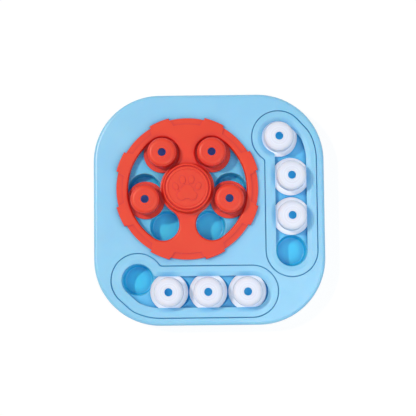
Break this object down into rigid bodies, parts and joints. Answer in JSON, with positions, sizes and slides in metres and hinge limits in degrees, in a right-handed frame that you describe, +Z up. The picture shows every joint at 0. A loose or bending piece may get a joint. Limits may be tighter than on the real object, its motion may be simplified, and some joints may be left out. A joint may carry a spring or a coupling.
{
  "type": "dog puzzle feeder toy",
  "caption": "Square treat puzzle tray with a turning wheel that carries sliding knobs, and two lanes of captive sliding blocks over round treat cups.",
  "frame": {"origin": "on the table under the middle of the tray, at the bottom of the rubber feet", "axes": "+X to the right, +Y away from the user who sees the paw print upright, +Z up"},
  "size_m": [0.2616, 0.2616, 0.0508],
  "materials": {
    "sky_blue_plastic": "satin sky-blue moulded ABS",
    "red_plastic": "satin coral-red moulded ABS",
    "white_plastic": "satin white moulded ABS",
    "grey_rubber": "matt soft rubber",
    "steel": "zinc-plated steel"
  },
  "bodies": {
    "tray": {"foot_back_left": "grey_rubber", "foot_back_right": "grey_rubber", "foot_front_left": "grey_rubber", "foot_front_right": "grey_rubber", "front_cover_screws": "steel", "front_lane_cover": "sky_blue_plastic", "front_lane_tub": "sky_blue_plastic", "hub_screw": "steel", "hub_washer": "steel", "side_cover_screws": "steel", "side_lane_cover": "sky_blue_plastic", "side_lane_tub": "sky_blue_plastic", "tray": "sky_blue_plastic", "wheel_well": "sky_blue_plastic"},
    "wheel": {"wheel": "red_plastic", "hub_cap": "red_plastic"},
    "front_block_1": {"front_block_1": "white_plastic"},
    "front_block_2": {"front_block_2": "white_plastic"},
    "front_block_3": {"front_block_3": "white_plastic"},
    "knob_lower_left": {"knob_lower_left": "red_plastic"},
    "knob_lower_right": {"knob_lower_right": "red_plastic"},
    "knob_upper_left": {"knob_upper_left": "red_plastic"},
    "knob_upper_right": {"knob_upper_right": "red_plastic"},
    "side_block_1": {"side_block_1": "white_plastic"},
    "side_block_2": {"side_block_2": "white_plastic"},
    "side_block_3": {"side_block_3": "white_plastic"}
  },
  "joints": [
    {"name": "wheel_turn", "type": "hinge", "parent": "tray", "child": "wheel", "pos_m": [-0.02431, 0.0233, 0.026], "axis": [0, 0, 1], "continuous": true},
    {"name": "knob_upper_left_slide", "type": "hinge", "parent": "wheel", "child": "knob_upper_left", "pos_m": [-0.02431, 0.0233, 0.0365], "axis": [0, 0, 1], "range_deg": [-1.2, 17.2]},
    {"name": "knob_upper_right_slide", "type": "hinge", "parent": "wheel", "child": "knob_upper_right", "pos_m": [-0.02431, 0.0233, 0.0365], "axis": [0, 0, 1], "range_deg": [-17.2, 1.5]},
    {"name": "knob_lower_left_slide", "type": "hinge", "parent": "wheel", "child": "knob_lower_left", "pos_m": [-0.02431, 0.0233, 0.0365], "axis": [0, 0, 1], "range_deg": [-17.2, 42]},
    {"name": "knob_lower_right_slide", "type": "hinge", "parent": "wheel", "child": "knob_lower_right", "pos_m": [-0.02431, 0.0233, 0.0365], "axis": [0, 0, 1], "range_deg": [-42, 17.2]},
    {"name": "side_block_1_slide", "type": "hinge", "parent": "tray", "child": "side_block_1", "pos_m": [0.0603, 0.0536, 0.032], "axis": [0, 0, -1], "range_deg": [-2.5, 6]},
    {"name": "side_block_2_slide", "type": "slide", "parent": "tray", "child": "side_block_2", "axis": [0, -1, 0], "range_m": [-0.003, 0.0018]},
    {"name": "side_block_3_slide", "type": "slide", "parent": "tray", "child": "side_block_3", "axis": [0, -1, 0], "range_m": [-0.0018, 0.04]},
    {"name": "front_block_1_slide", "type": "hinge", "parent": "tray", "child": "front_block_1", "pos_m": [-0.0536, -0.0603, 0.032], "axis": [0, 0, 1], "range_deg": [-70, 1.5]},
    {"name": "front_block_2_slide", "type": "slide", "parent": "tray", "child": "front_block_2", "axis": [1, 0, 0], "range_m": [-0.001, 0.0009]},
    {"name": "front_block_3_slide", "type": "slide", "parent": "tray", "child": "front_block_3", "axis": [1, 0, 0], "range_m": [-0.0009, 0.0066]}
  ]
}
